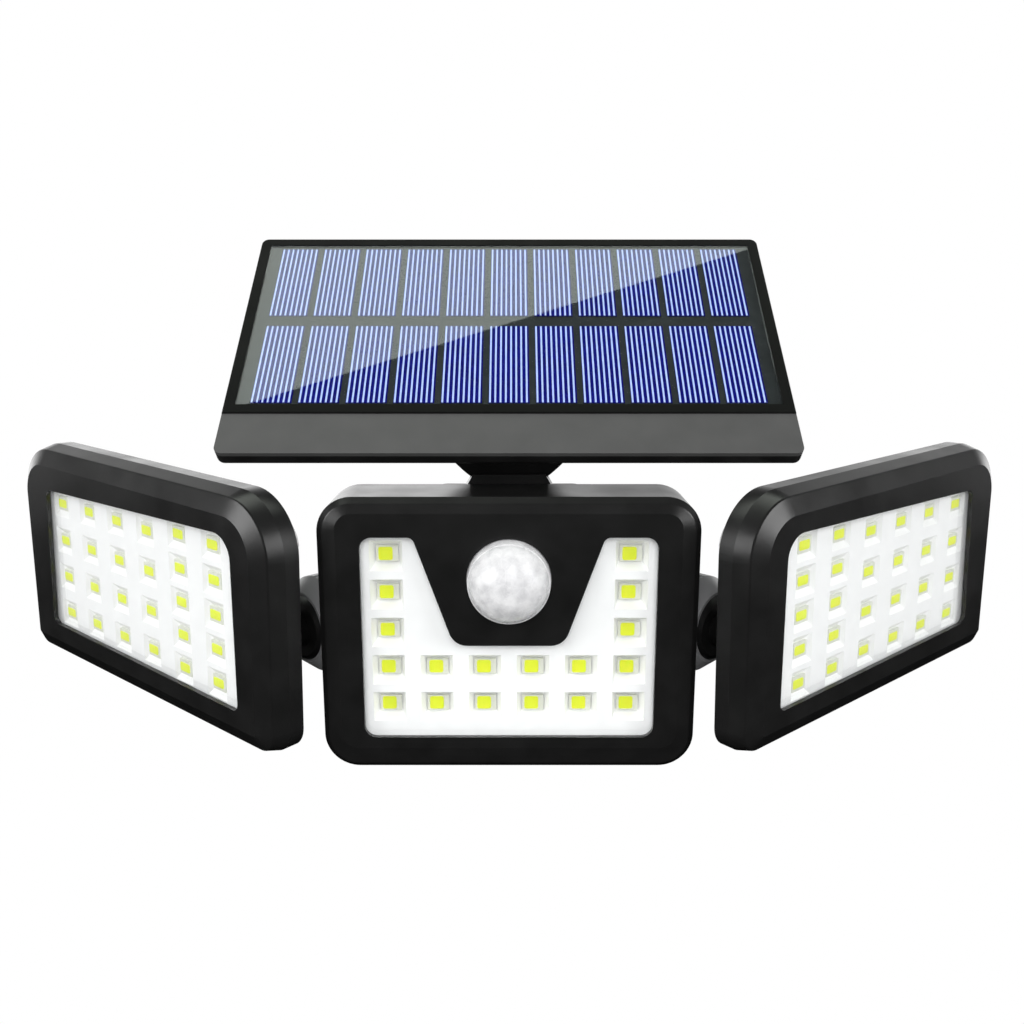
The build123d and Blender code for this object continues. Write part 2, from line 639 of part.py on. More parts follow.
def make_button():
    """Round mode button: a cap through the cover, a collar and a short plunger inside."""
    x, z = BUTTON_AT
    outer = BOX_BACK + COVER_T + 1.4
    cap = rod(BUTTON_R, BOX_BACK - 1.1, outer, x, z)
    cap = fillet(cap.edges().group_by(Axis.Y)[-1], 1.0)
    collar = rod(BUTTON_R + 1.8, BOX_BACK - 2.1, BOX_BACK - 1.1, x, z)
    return cap + collar + rod(1.6, BOX_BACK - 3.2, BOX_BACK - 2.1, x, z)


def make_cell():
    """Cylindrical battery cell lying across the box."""
    can = Cylinder(CELL_R, CELL_LENGTH)
    can = fillet(can.edges(), 0.8)
    tip = Pos(0, 0, CELL_LENGTH / 2) * Cylinder(CELL_TIP[0], 2 * CELL_TIP[1])
    return Pos(0, CENTRE_DEPTH + CELL_SEAT + CELL_R, CELL_Z) * Rot(0, 90, 0) * (can + tip)


def make_cradle():
    """Open holder that the cell lies in, with an end wall each side."""
    half = CELL_LENGTH / 2 + 1.3
    y0, y1 = CENTRE_DEPTH, CENTRE_DEPTH + HOLDER_DEPTH
    wide = 2 * (CELL_R + HOLDER_WALL)
    body = Pos(0, (y0 + y1) / 2, CELL_Z) * Box(2 * half + 2.0, y1 - y0, wide)
    bore = Pos(0, CENTRE_DEPTH + CELL_SEAT + CELL_R, CELL_Z) * Rot(0, 90, 0)
    body -= bore * Cylinder(CELL_R + 0.15, 2 * half)
    mouth = Pos(0, CENTRE_DEPTH + CELL_SEAT + 2 * CELL_R, CELL_Z)
    return body - mouth * Box(2 * half, 2 * CELL_R, 2 * CELL_R - 1.6)


def make_control_board():
    """Charging and switching board with its larger components and the push switch."""
    x0, x1 = CONTROL_ENDS[0] - BOX_HALF, BOX_HALF - CONTROL_ENDS[1]
    z1, z0 = [BOX_TOP - drop for drop in CONTROL_DROP]
    y0, y1 = CONTROL_Y, CONTROL_Y + BOARD
    board = prism(Pos((x0 + x1) / 2, (z0 + z1) / 2) * Rectangle(x1 - x0, z1 - z0), y0, y1)
    side, high = SWITCH
    switch = Pos(BUTTON_AT[0], y1 + high / 2, BUTTON_AT[1]) * Box(side, high, side)
    coil = rod(COIL[0], y1, y1 + COIL[1], x0 + COIL_AT[0], z1 - COIL_AT[1])
    chip = Pos(x0 + CHIP_AT[0], y1 + CHIP[1] / 2, z1 - CHIP_AT[1]) * Box(*CHIP)
    plug = Pos(x0 + PLUG_AT[0], y1 + PLUG[1] / 2, z1 - PLUG_AT[1]) * Box(*PLUG)
    return board + switch + coil + chip + plug


def make_cover_screws():
    y = BOX_BACK + COVER_T + SCREW_HEAD
    return group(screw(x, z, y, COVER_SCREW) for x, z in cover_spots())


# ---- wall bracket -------------------------------------------------------------------------
def flange_spots():
    return corners(FLANGE[0] / 2 - 4.0, FLANGE[1] / 2 - 4.4)


def make_wall_bracket():
    """Flange, hollow tapered arm with webs above and below, and the square wall plate."""
    y0 = BOX_BACK + COVER_T
    y1 = y0 + FLANGE_T
    y2 = DEPTH - PLATE_T
    low = -PLATE_DROP
    body = plate(*FLANGE, 5.0, y0, y1)
    body += frustum(RectangleRounded(*ARM_FRONT, 5.0),
                    Pos(0, low) * RectangleRounded(*ARM_BACK, 6.0), y1, y2)
    for end in (-1, 1):
        reach = low + end * (ARM_BACK[1] / 2 + 9.0)
        web = Polygon((y2 - 26.0, low / 2), (y2, low), (y2, reach), align=None)
        body += extrude(Plane.YZ * web, 1.6, both=True)
    wall_plate = plate(PLATE_SIDE, PLATE_SIDE, 9.0, y2, DEPTH, z=low)
    body += fillet(wall_plate.edges().group_by(Axis.Y)[0], 1.2)
    two = 2 * ARM_WALL
    body -= frustum(RectangleRounded(ARM_FRONT[0] - two, ARM_FRONT[1] - two, 3.0),
                    Pos(0, low) * RectangleRounded(ARM_BACK[0] - two, ARM_BACK[1] - two, 4.0),
                    y1 + 2, DEPTH)
    for x, z in flange_spots():
        body -= rod(SCREW_R + 0.3, y0, y1, x, z)
    for x, z in corners(HOLE_HALF, HOLE_HALF, low):
        body -= rod(HOLE_R, y2 - 1, DEPTH, x, z)
    return body


def make_flange_screws():
    y = BOX_BACK + COVER_T + FLANGE_T + SCREW_HEAD
    return group(screw(x, z, y, FLANGE_SCREW) for x, z in flange_spots())


# ---- solar panel, drawn lying flat: X across, Y up the slope, Z out of its top face ----------
def slab(w, length, radii, z0, z1, y0=0.0):
    sketch = rounded(w, length, radii, y0 + length / 2)
    return extrude(Plane.XY.offset(z0) * sketch, z1 - z0)


GLASS_SLANT = PANEL_SLANT - STRIP


def make_panel_frame():
    """Black border that holds the clear sheet."""
    ring = slab(PANEL_W, GLASS_SLANT, (PANEL_R, 0), -DECK_T, 0.5, STRIP)
    opening = slab(PANEL_W - 2 * FRAME_RIM, GLASS_SLANT - 2 * FRAME_RIM, (0.6, 0.6), -DECK_T, 1.0,
                   STRIP + FRAME_RIM)
    ring = chamfer(ring.edges().group_by(Axis.Z)[-1], 0.3)
    return ring - opening


def sheet_slab(z0, z1):
    gap = FRAME_RIM + FIT_GAP / 2
    return slab(PANEL_W - 2 * gap, GLASS_SLANT - 2 * gap, (0.5, 0.5), z0, z1, STRIP + gap)


def make_cover_sheet():
    return sheet_slab(BACKING_Z + CELL_T + 0.05, 0.25)


def make_backing():
    return sheet_slab(BACKING_Z - SHEET_T, BACKING_Z)


def make_cells():
    """Two rows of narrow cells with even gaps, filling the border."""
    sides, lower, upper = [FRAME_RIM + edge for edge in CELL_EDGES]
    wide = (PANEL_W - 2 * sides + CELL_GAP[0]) / CELL_COLUMNS - CELL_GAP[0]
    tall = (GLASS_SLANT - lower - upper + CELL_GAP[1]) / CELL_ROWS - CELL_GAP[1]
    middle = (STRIP + lower + PANEL_SLANT - upper) / 2
    cell = extrude(Plane.XY.offset(BACKING_Z) * Rectangle(wide, tall), CELL_T)
    return group(Pos(x, y, 0) * cell for x in spread(CELL_COLUMNS, wide + CELL_GAP[0])
                 for y in spread(CELL_ROWS, tall + CELL_GAP[1], middle))


def deck_spots():
    """Six screws that hold the deck down in the tray."""
    across, along = DECK_SCREWS
    return [(x, y) for x in spread(2, PANEL_W - 2 * across)
            for y in between(3, along, PANEL_SLANT - along)]


def bracket_spots():
    """Four screws that hold the neck's foot to the tray."""
    ends = (FOOT_SPAN[0] + 5.0, FOOT_SPAN[1] - 5.0)
    return [(sx * (FOOT_HALF + 3.2), HINGE_FROM_EDGE + y) for sx in (-1, 1) for y in ends]


def upright(r, z0, z1, x, y):
    """Cylinder square to the panel."""
    return extrude(Plane.XY.offset(z0) * (Pos(x, y) * Circle(r)), z1 - z0)


def make_deck():
    """Grey top of the panel's box: the bare strip in front, a sunk floor behind it."""
    body = slab(PANEL_W, STRIP, (0, PANEL_R), -DECK_T, 0.0)
    gap = WALL + FIT_GAP
    body += slab(PANEL_W - 2 * gap, PANEL_SLANT - 2 * gap, (1.0, 1.0), FLOOR_Z, -DECK_T, gap)
    return body - [upright(SCREW_R + THREAD_FIT, FLOOR_Z, -DECK_T, x, y) for x, y in deck_spots()]


def make_tray():
    """Black back of the panel's box, ribbed inside, with the front edge below the strip."""
    body = slab(PANEL_W, PANEL_SLANT, (PANEL_R, PANEL_R), -PANEL_T, -DECK_T)
    body = fillet(body.edges().group_by(Axis.Z)[0], 2.2)
    gap = WALL
    top = -PANEL_T + TRAY_FLOOR
    body -= slab(PANEL_W - 2 * gap, PANEL_SLANT - 2 * gap, (1.2, 1.2), top, -DECK_T, gap)
    for x in spread(5, 32.0):
        body += Pos(x, PANEL_SLANT / 2, top + 0.4) * Box(1.6, PANEL_SLANT - 2 * gap, 0.9)
    for x, y in bracket_spots():
        body += upright(BOSS_R, top, FLOOR_Z - FIT_GAP, x, y)
        body -= upright(SCREW_R + THREAD_FIT, -PANEL_T, FLOOR_Z - FIT_GAP - 0.4, x, y)
    for x, y in deck_spots():
        body += upright(SCREW_HEAD_R + 1.4, top, FLOOR_Z, x, y)
        body -= upright(SCREW_HEAD_R + 0.3, -PANEL_T, -PANEL_T + SCREW_HEAD + 0.1, x, y)
        body -= upright(SCREW_R + 0.2, -PANEL_T, FLOOR_Z, x, y)
    return body


def make_panel_bracket():
    """Neck under the panel: a foot on the tray that narrows to the hinge's two cheeks."""
    y, z = HINGE
    waist_z = z - KNUCKLE_R
    wide_z = waist_z + FOOT_HALF - WAIST_HALF
    high = z + 40.0
    front = Polygon((-WAIST_HALF, waist_z), (WAIST_HALF, waist_z), (FOOT_HALF, wide_z),
                    (FOOT_HALF, high), (-FOOT_HALF, high), (-FOOT_HALF, wide_z), align=None)
    legs = prism(front, y - 30, y + 30)
    cheek = Circle(KNUCKLE_R) + Pos(0, 3.0) * Rectangle(2 * KNUCKLE_R, 6.0)
    crown = Polygon((-KNUCKLE_R, 5.0), (KNUCKLE_R, 5.0), (13.0, 17.0), (13.0, 40.0),
                    (-13.0, 40.0), (-13.0, 11.0), align=None)
    profile = Plane.YZ * (Pos(y, z) * (cheek + crown))
    legs &= extrude(profile, 40, both=True)
    under = panel_place * (Pos(0, 0, -PANEL_T - 50) * Box(200, 300, 100))
    legs &= under
    foot = panel_place * slab(2 * FOOT_HALF + 14, FOOT_SPAN[1] - FOOT_SPAN[0], (5.0, 5.0),
                              -PANEL_T - FOOT_T, -PANEL_T, HINGE_FROM_EDGE + FOOT_SPAN[0])
    body = legs + foot
    axis = Pos(0, y, z) * Rot(0, 90, 0)
    slot = TONGUE + 0.5
    body -= axis * Cylinder(TONGUE_R + TONGUE_GAP, slot)
    front = TONGUE_STALK / 2 + TONGUE_GAP
    body -= Pos(0, y - front + 10, z - 6) * Box(slot, 20, 12)
    body -= axis * Cylinder(PIN_R + 0.05, 60)
    pocket = Pos(BOLT_POCKET_AT + 10, y, z) * Rot(0, 90, 0) * Cylinder(BOLT_POCKET_R, 20)
    body -= both_sides(pocket)
    return body - [panel_place * upright(SCREW_R + 0.2, -PANEL_T - FOOT_T, -PANEL_T, *spot)
                   for spot in bracket_spots()]


def panel_screw(x, y, under, length):
    """Pan-head screw driven up into the panel: its head's seat is at z = under."""
    head = upright(SCREW_HEAD_R, under - SCREW_HEAD, under, x, y)
    slot = Pos(x, y, under - SCREW_HEAD) * Box(3.6, 0.7, 1.2)
    return head + upright(SCREW_R, under, under + length, x, y) - slot


def make_bracket_screws():
    return group(panel_screw(x, y, -PANEL_T - FOOT_T, FOOT_SCREW) for x, y in bracket_spots())


def make_deck_screws():
    under = -PANEL_T + SCREW_HEAD + 0.1
    return group(panel_screw(x, y, under, -DECK_T - 0.2 - under) for x, y in deck_spots())


def make_hinge_bolt():
    """Bolt through both cheeks and the tongue, its dome head in the left cheek's pocket."""
    shaft = Cylinder(PIN_R, 2 * BOLT_POCKET_AT + 3.4)
    head = Pos(0, 0, -BOLT_POCKET_AT - 1.1) * Cylinder(3.5, 2.2)
    head = fillet(head.edges().group_by(Axis.Z)[0], 0.9)
    socket = Pos(0, 0, -BOLT_POCKET_AT - 2.2) * extrude(RegularPolygon(1.4, 6), 1.2)
    return Pos(0, *HINGE) * Rot(0, 90, 0) * (shaft + head - socket)


def make_hinge_nut():
    ring = RegularPolygon(3.2, 6, major_radius=False) - Circle(PIN_R + THREAD_FIT)
    nut = extrude(Plane.XY.offset(BOLT_POCKET_AT) * ring, 2.4)
    return Pos(0, *HINGE) * Rot(0, 90, 0) * nut


# ---- all nodes ----------------------------------------------------------------------------
def head_nodes(name, head, head_y):
    """Pieces that every head has, in its own frame."""
    return {
        f"{name}_bezel": make_bezel(head),
        f"{name}_gasket": make_gasket(head),
        f"{name}_lens": make_lens(head),
        f"{name}_reflector": make_reflector(head),
        f"{name}_led_board": make_board(head),
        f"{name}_leds": make_leds(head),
        f"{name}_bezel_screws": make_screws(head, head_y),
    }


def build_nodes():
    """Every node in the face frame."""
    nodes = head_nodes("centre", centre, CENTRE_DEPTH + SCREW_HEAD)
    nodes["centre_housing"] = make_housing()
    nodes["pir_lens"] = make_pir_lens()
    nodes["pir_sensor"] = make_pir_sensor()
    nodes["rear_cover"] = make_rear_cover()
    nodes["rear_cover_screws"] = make_cover_screws()
    nodes["button_seal"] = make_cover_seal()
    nodes["mode_button"] = make_button()
    nodes["battery_cell"] = make_cell()
    nodes["battery_cradle"] = make_cradle()
    nodes["control_board"] = make_control_board()
    nodes["wall_bracket"] = make_wall_bracket()
    nodes["bracket_screws"] = make_flange_screws()

    seat = SKIRT + LIP_LENGTH + FIT_GAP + SIDE_SCREW_FLOOR
    left = head_nodes("left", side, seat + SCREW_HEAD)
    left["left_shell"] = make_side_shell()
    left["left_ball_stem"] = make_ball_stem()
    left["left_stem_nut"] = make_stem_nut()
    left = {name: left_place * shape for name, shape in left.items()}
    left["left_liner"] = socket_place * make_liner()
    left["left_ring_nut"] = socket_place * make_ring_nut()
    for name, shape in left.items():
        nodes[name] = shape
        nodes[name.replace("left", "right")] = mirror(shape, Plane.YZ)

    flat = {
        "panel_frame": make_panel_frame(), "panel_cover_sheet": make_cover_sheet(),
        "solar_cells": make_cells(), "panel_backing": make_backing(),
        "panel_deck": make_deck(), "panel_tray": make_tray(),
        "panel_bracket_screws": make_bracket_screws(), "panel_deck_screws": make_deck_screws(),
    }
    nodes.update({name: panel_place * shape for name, shape in flat.items()})
    nodes["panel_bracket"] = make_panel_bracket()
    nodes["hinge_bolt"] = make_hinge_bolt()
    nodes["hinge_nut"] = make_hinge_nut()
    return nodes


os.makedirs("parts", exist_ok=True)
for node, shape in build_nodes().items():
    export_step(Pos(0, -DEPTH, PLATE_DROP) * shape, f"parts/{node}.step")
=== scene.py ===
"""Looks of the solar security light: a finish for every CAD piece, and the fine pieces that the
CAD leaves out. Metres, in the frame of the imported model."""
import json
from math import cos, radians, sin

import bmesh
import bpy
from mathutils import Euler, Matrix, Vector

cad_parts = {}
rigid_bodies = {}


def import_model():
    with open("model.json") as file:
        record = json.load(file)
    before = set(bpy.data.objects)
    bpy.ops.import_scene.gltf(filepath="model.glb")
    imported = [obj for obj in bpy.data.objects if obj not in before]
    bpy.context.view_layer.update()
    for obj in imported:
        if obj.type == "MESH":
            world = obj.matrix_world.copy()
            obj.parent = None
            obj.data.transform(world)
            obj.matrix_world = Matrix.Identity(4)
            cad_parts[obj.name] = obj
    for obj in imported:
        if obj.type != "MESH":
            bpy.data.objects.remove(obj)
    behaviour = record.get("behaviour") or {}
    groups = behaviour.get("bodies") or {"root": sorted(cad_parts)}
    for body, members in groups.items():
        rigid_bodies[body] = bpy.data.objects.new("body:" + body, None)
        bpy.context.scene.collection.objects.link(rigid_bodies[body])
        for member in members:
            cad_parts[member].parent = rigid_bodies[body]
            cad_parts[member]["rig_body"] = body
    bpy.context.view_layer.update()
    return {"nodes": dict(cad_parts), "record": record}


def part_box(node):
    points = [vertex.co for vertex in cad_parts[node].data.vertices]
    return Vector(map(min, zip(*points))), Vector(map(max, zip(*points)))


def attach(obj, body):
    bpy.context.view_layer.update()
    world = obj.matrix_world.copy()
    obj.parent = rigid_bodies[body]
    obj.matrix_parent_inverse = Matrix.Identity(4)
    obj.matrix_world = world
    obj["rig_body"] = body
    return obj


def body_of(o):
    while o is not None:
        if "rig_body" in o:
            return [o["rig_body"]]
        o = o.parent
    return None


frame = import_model()
NODES = frame["nodes"]
MM = 0.001

# ---- sizes of the fine pieces -------------------------------------------------------------
PHOSPHOR_PADS = (        # head, half width and half height as shares of the package, step left
    ("centre", 0.33, 0.42, 0.065),
    ("left", 0.41, 0.31, 0.05),
    ("right", 0.41, 0.31, 0.05),
)
PAD_CORNER = 0.7 * MM
PAD_HEIGHT = 0.14 * MM
PAD_RINGS = (            # share of the outline, share of the height: wall, shoulder, crown
    (1.0, 0.0), (1.0, 0.55), (0.955, 0.9), (0.86, 1.0), (0.45, 1.5))
PAD_TOP = 1.6            # height in the very middle

DOME_R = 12.3 * MM
SEAM_R = 11.75 * MM      # where the dome's lens facets begin, seen as a fine raised ring
BEAD_R = 0.24 * MM
BEAD_STEPS = 96          # round the dome
BEAD_SIDES = 8           # round the bead itself

FINGERS = 8              # silver lines printed along each cell
CELL_PITCHES = 7.75      # a cell's width, in steps from line to line
FIRST_FINGER = 0.26      # middle of the first line from the cell's edge, in steps
FINGER_HALF = 0.17       # half a line's width, in steps
FINGER_LIFT = 0.02 * MM
FINGER_SHORT = 0.1 * MM  # the lines stop this short of the cell's ends

# ---- sizes of the stage -------------------------------------------------------------------
FLOOR_Z = -0.30
FLOOR_FRONT = -2.5
BACKDROP_Y = 1.3
BACKDROP_TOP = 2.6
SWEEP_R = 0.5            # the floor curves up into the backdrop
SWEEP_HALF_WIDTH = 3.0
LIGHT_MIDDLE = (0, -0.1, 0.03)
GLOW = 2.4               # of the far paper in gloss, where 1 is the camera's white
GLOW_FAR_Y = (0.7, 1.1)  # it comes up between these
GLOW_LEFT_X = (-0.25, 0.15)
GLOW_RIGHT_X = (0.45, 0.8)
GLOW_TOP_Z = (0.45, 0.85)
GLOW_MIDDLE = 0.42       # share that is left behind the neck
GLOW_ABOVE = 0.1         # share that is left above


# ---- colours, nodes and patterns ----------------------------------------------------------
def linear(hex_colour):
    """sRGB hex to a linear colour with alpha."""
    values = [int(hex_colour[i:i + 2], 16) / 255 for i in (1, 3, 5)]
    return [v / 12.92 if v <= 0.04045 else ((v + 0.055) / 1.055) ** 2.4 for v in values] + [1.0]


def add(tree, kind, settings=None, links=None):
    """Add a node. Settings are node properties or sockets by name or number; links feed
    sockets."""
    node = tree.nodes.new(kind)
    for key, value in (settings or {}).items():
        if isinstance(key, str) and key in node.bl_rna.properties:
            setattr(node, key, value)
        else:
            node.inputs[key].default_value = value
    for key, source in (links or {}).items():
        tree.links.new(source, node.inputs[key])
    return node


def finish(name, settings, build):
    """A Principled material; build(tree) returns the sockets that patterns drive."""
    material = bpy.data.materials.new(name)
    material.use_nodes = True
    tree = material.node_tree
    tree.nodes.clear()
    shader = add(tree, "ShaderNodeBsdfPrincipled", settings, build(tree))
    add(tree, "ShaderNodeOutputMaterial", links={"Surface": shader.outputs[0]})
    return material


def grain(tree, size_mm, depth_mm, detail=2.0):
    """Fine bumps about size_mm across. Positions are on the piece, which has its vertices in
    the row frame."""
    spot = add(tree, "ShaderNodeTexCoord").outputs["Object"]
    noise = add(tree, "ShaderNodeTexNoise", {"Scale": 1 / (size_mm * MM), "Detail": detail},
                {"Vector": spot})
    return add(tree, "ShaderNodeBump", {"Strength": 1.0, "Distance": depth_mm * MM},
               {"Height": noise.outputs["Fac"]}).outputs[0]


def drifting(tree, size_mm, low, high):
    """A value that drifts between low and high over patches about size_mm across. The noise
    itself mostly keeps between 0.3 and 0.7."""
    spot = add(tree, "ShaderNodeTexCoord").outputs["Object"]
    noise = add(tree, "ShaderNodeTexNoise", {"Scale": 1 / (size_mm * MM), "Detail": 3.0},
                {"Vector": spot})
    spread = add(tree, "ShaderNodeMapRange", {
        "From Min": 0.3, "From Max": 0.7, "To Min": low, "To Max": high,
    }, {"Value": noise.outputs["Fac"]})
    return spread.outputs[0]


def clouded(tree, size_mm, dark, light):
    """A colour that drifts between two shades over patches about size_mm across."""
    mix = add(tree, "ShaderNodeMix", {"data_type": "RGBA", 6: linear(dark), 7: linear(light)},
              {0: drifting(tree, size_mm, 0.0, 1.0)})
    return mix.outputs[2]


# ---- materials ----------------------------------------------------------------------------
def moulded_abs(name, dark, light, roughness, depth=0.010, shine=0.5):
    """Injection-moulded ABS from a spark-eroded mould: a fine even grain breaks up the gloss,
    and handling leaves slightly shinier patches. The real grain is about 0.15 mm, drawn at
    0.35 mm so that it shows."""
    def build(tree):
        return {
            "Base Color": clouded(tree, 9.0, dark, light),
            "Roughness": drifting(tree, 14.0, roughness - 0.04, roughness + 0.05),
            "Normal": grain(tree, 0.35, depth),
        }
    return finish(name, {"IOR": 1.53, "Specular IOR Level": shine}, build)


def clear_pane(name, tint, roughness, wave):
    """Clear polycarbonate, moulded or cast as a sheet: polished, with waves too flat to see but
    in a reflection. It lets light through to what lies behind, so shadow and diffuse rays pass
    it."""
    material = bpy.data.materials.new(name)
    material.use_nodes = True
    tree = material.node_tree
    tree.nodes.clear()
    shader = add(tree, "ShaderNodeBsdfPrincipled", {
        "Base Color": linear(tint), "Roughness": roughness, "IOR": 1.5, "Transmission Weight": 1.0,
    }, {"Normal": grain(tree, 6.0, wave, 0.0)})
    through = add(tree, "ShaderNodeBsdfTransparent", {"Color": linear("#FBFCFC")})
    rays = add(tree, "ShaderNodeLightPath")
    either = add(tree, "ShaderNodeMath", {"operation": "MAXIMUM"},
                 {0: rays.outputs["Is Shadow Ray"], 1: rays.outputs["Is Diffuse Ray"]})
    mix = add(tree, "ShaderNodeMixShader", links={
        0: either.outputs[0], 1: shader.outputs[0], 2: through.outputs[0]})
    add(tree, "ShaderNodeOutputMaterial", links={"Surface": mix.outputs[0]})
    return material


def reflector_white():
    """Vacuum-formed white polycarbonate: bright, with a soft satin gloss in the pockets."""
    def build(tree):
        return {
            "Base Color": clouded(tree, 5.0, "#FAFAFA", "#FFFFFF"),
            "Normal": grain(tree, 1.2, 0.004),
        }
    return finish("reflector_white_polycarbonate", {"Roughness": 0.32, "IOR": 1.58}, build)


def solder_mask(name, dark, light):
    """Screen-printed solder mask: an even satin coat with a faint cloudiness."""
    def build(tree):
        return {
            "Base Color": clouded(tree, 3.0, dark, light),
            "Normal": grain(tree, 0.6, 0.003),
        }
    return finish(name, {"Roughness": 0.38, "Coat Weight": 0.3}, build)


def phosphor():
    """Cast silicone with phosphor powder: saturated lime yellow, paler where it is thin. A faint
    glow of its own is painted light that brightens the pads, though the diode is off."""
    def build(tree):
        return {
            "Base Color": clouded(tree, 2.2, "#DDEB05", "#E4E90F"),
            "Normal": grain(tree, 0.3, 0.004),
        }
    return finish("phosphor_silicone_painted_glow", {
        "Roughness": 0.45, "Subsurface Weight": 0.15, "Subsurface Scale": 0.0006,
        # the emission is a painted glow: the pads are no lamp
        "Emission Color": linear("#E0F000"), "Emission Strength": 0.08}, build)


def led_case():
    """Moulded white nylon package round the phosphor, yellowish and satin."""
    def build(tree):
        return {
            "Base Color": clouded(tree, 1.5, "#D4D6C8", "#E0E2D6"),
            "Normal": grain(tree, 0.4, 0.004),
        }
    return finish("led_package_nylon", {"Roughness": 0.4}, build)


def dome_polyethylene():
    """Pressed milky polyethylene: light soaks in and the surface stays soft, with cloudy
    patches and faint seams where the lens facets, about 3.4 mm across, are pressed inside."""
    def build(tree):
        spot = add(tree, "ShaderNodeTexCoord").outputs["Object"]
        facets = add(tree, "ShaderNodeTexVoronoi", {
            "feature": "DISTANCE_TO_EDGE", "Scale": 1 / (3.4 * MM)}, {"Vector": spot})
        seam = add(tree, "ShaderNodeMapRange", {"From Max": 0.05, "To Min": 0.16, "To Max": 0.0},
                   {"Value": facets.outputs["Distance"]})
        tint = add(tree, "ShaderNodeMix", {"data_type": "RGBA", 7: linear("#FAFAFA")}, {
            0: seam.outputs[0], 6: clouded(tree, 3.6, "#C9C9CB", "#EAEAEB")})
        return {
            "Base Color": tint.outputs[2],
            "Roughness": drifting(tree, 3.0, 0.2, 0.34),
            "Normal": grain(tree, 1.6, 0.02),
        }
    return finish("dome_polyethylene", {
        "Subsurface Weight": 0.3, "Subsurface Scale": 0.0015, "Subsurface Radius": (1, 1, 1),
        "IOR": 1.51}, build)


def zinc_steel():
    """Rolled and zinc-plated steel: grey, with a brushed break-up in the gloss."""
    def build(tree):
        return {
            "Base Color": clouded(tree, 1.5, "#8E9093", "#B4B6B8"),
            "Roughness": drifting(tree, 0.8, 0.28, 0.45),
            "Normal": grain(tree, 0.25, 0.004),
        }
    return finish("zinc_plated_steel", {"Metallic": 1.0}, build)


def silicone(name, dark, light):
    """Pressed silicone rubber: matt and slightly dusty."""
    def build(tree):
        return {
            "Base Color": clouded(tree, 2.0, dark, light),
            "Normal": grain(tree, 0.3, 0.006),
        }
    return finish(name, {"Roughness": 0.72, "Sheen Weight": 0.1}, build)


def solar_silicon():
    """Sawn polycrystalline silicon: deep blue under its coating, with crystals about 3 mm
    across that turn a little lighter. The silver lines on it are pieces of their own."""
    def build(tree):
        spot = add(tree, "ShaderNodeTexCoord").outputs["Object"]
        crystals = add(tree, "ShaderNodeTexVoronoi", {"Scale": 1 / (3.0 * MM)}, {"Vector": spot})
        shade = add(tree, "ShaderNodeSeparateColor", links={0: crystals.outputs["Color"]})
        blue = add(tree, "ShaderNodeMix", {
            "data_type": "RGBA", 6: linear("#02025C"), 7: linear("#04066E")},
            {0: shade.outputs[0]})
        return {"Base Color": blue.outputs[2]}
    return finish("polycrystalline_silicon", {"Roughness": 0.25, "Specular IOR Level": 0.1}, build)


def printed_silver():
    """Screen-printed silver paste: pale, matt and slightly bluish beside the cell."""
    def build(tree):
        return {
            "Base Color": clouded(tree, 1.0, "#ACC0FF", "#BCCCFF"),
            "Normal": grain(tree, 0.2, 0.004),
        }
    return finish("printed_silver_paste", {"Roughness": 0.5, "Specular IOR Level": 0.2}, build)


def printed_backing():
    """Printed black film behind the cells, with a faint green-blue cast."""
    def build(tree):
        return {
            "Base Color": clouded(tree, 4.0, "#171A19", "#202423"),
            "Normal": grain(tree, 0.5, 0.003),
        }
    return finish("printed_backing_film", {"Roughness": 0.5, "Specular IOR Level": 0.2}, build)


def shrink_sleeve():
    """Heat-shrunk PVC sleeve on the battery cell: glossy, with faint waves."""
    def build(tree):
        return {
            "Base Color": clouded(tree, 6.0, "#1C5C86", "#226A98"),
            "Normal": grain(tree, 2.5, 0.02),
        }
    return finish("battery_sleeve_pvc", {"Roughness": 0.25}, build)


ZINC = zinc_steel()
PHOSPHOR = phosphor()
SILVER = printed_silver()
FRAME_BLACK = moulded_abs("abs_black_panel_frame", "#080908", "#0C0D0C", 0.6, 0.006, 0.12)
FINISHES = {             # by the record's material slots
    "housing_black": moulded_abs("abs_black_moulded", "#141414", "#1A1A1A", 0.32),
    "inner_black": moulded_abs("abs_black_inner", "#1D1D1D", "#242424", 0.5),
    # the ring nut's light grey is a painted reflection: the sheen of a glossy black cone, put into
    # its colour
    "nut_grey": moulded_abs("abs_ring_nut_painted_reflection", "#8A8A8C", "#949496", 0.42, 0.006),
    "deck_grey": moulded_abs("abs_grey_moulded", "#454545", "#4A4A4A", 0.5, 0.006),
    "silicone": silicone("seal_silicone_black", "#1A1A1B", "#242425"),
    "button_rubber": silicone("button_silicone_grey", "#4A4B4D", "#55565A"),
    "clear_lens": clear_pane("lens_clear_polycarbonate", "#FFFFFF", 0.04, 0.002),
    "panel_sheet": clear_pane("sheet_clear_polycarbonate", "#F4F8FC", 0.012, 0.0002),
    "white_reflector": reflector_white(),
    "led_board": solder_mask("board_white_mask", "#D8D9D6", "#E2E3E0"),
    "board_green": solder_mask("board_green_mask", "#124A26", "#175A30"),
    "led_phosphor": led_case(),
    "pir_white": dome_polyethylene(),
    "sensor_can": ZINC,
    "steel": ZINC,
    "cell_wrap": shrink_sleeve(),
    "solar_cell": solar_silicon(),
    "backing_dark": printed_backing(),
}


def dress_cad():
    """Give each carried-over CAD node the finish of its record slot. The panel's border is
    more matt than the housings."""
    for entry in frame["record"]["subparts"]:
        node = NODES[entry["node"]]
        matt = entry["node"] == "panel_frame"
        node.data.materials.clear()
        node.data.materials.append(FRAME_BLACK if matt else FINISHES[entry["material_slot"]])


